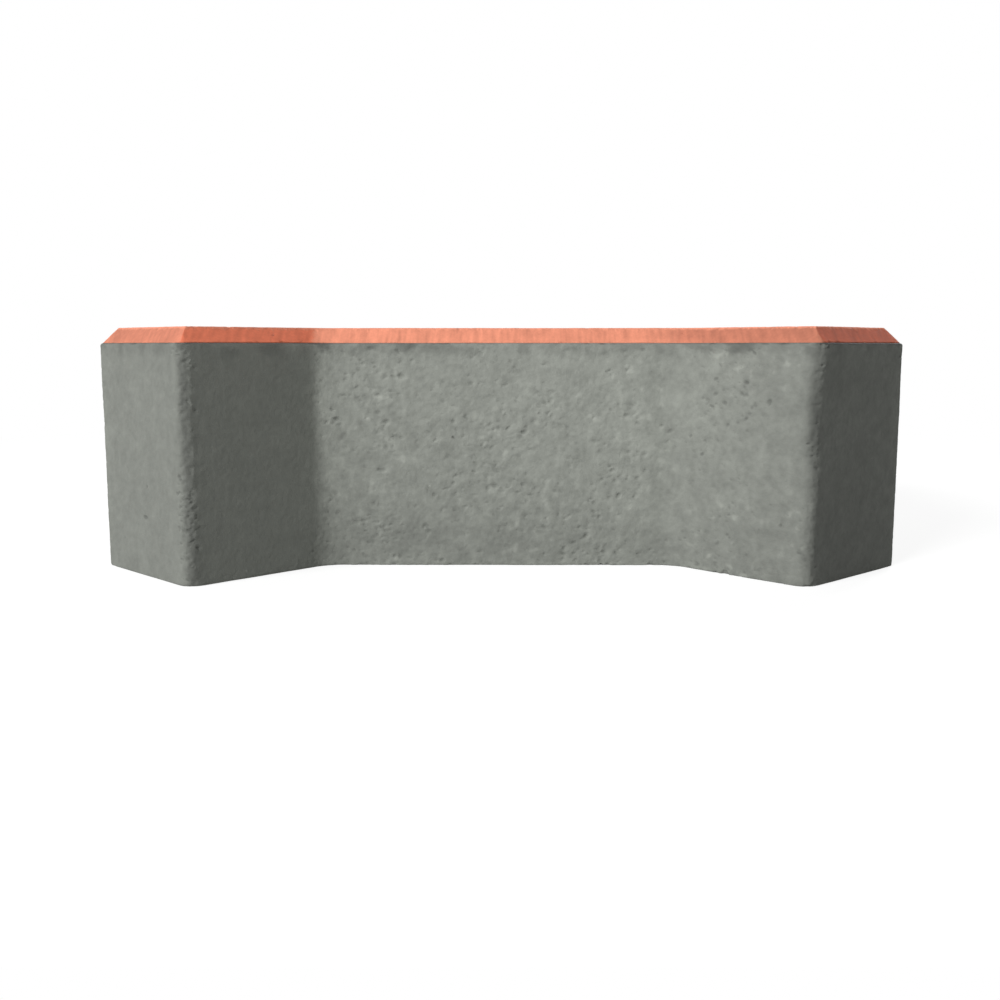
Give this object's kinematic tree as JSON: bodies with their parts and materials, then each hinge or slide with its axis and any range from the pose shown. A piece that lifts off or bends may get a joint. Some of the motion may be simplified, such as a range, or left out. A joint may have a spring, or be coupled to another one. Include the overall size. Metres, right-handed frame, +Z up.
{
  "type": "concrete paver",
  "caption": "Interlocking two-layer concrete paver in the shape of an I, with 45 degree ears, two side recesses and a bevelled, pigmented wearing face.",
  "frame": {"origin": "centre of the bed face, which lies on z = 0", "axes": "+X along the length of the unit, +Y across it towards one side recess, +Z up through the wearing face"},
  "size_m": [0.2, 0.1416, 0.06],
  "materials": {
    "plain_concrete": "pressed grey concrete, matt, finely pitted",
    "pigmented_face_mix": "pressed concrete face mix with salmon iron oxide pigment, matt, fine"
  },
  "bodies": {
    "root": {"concrete_body": "plain_concrete", "face_layer": "pigmented_face_mix"}
  },
  "joints": []
}
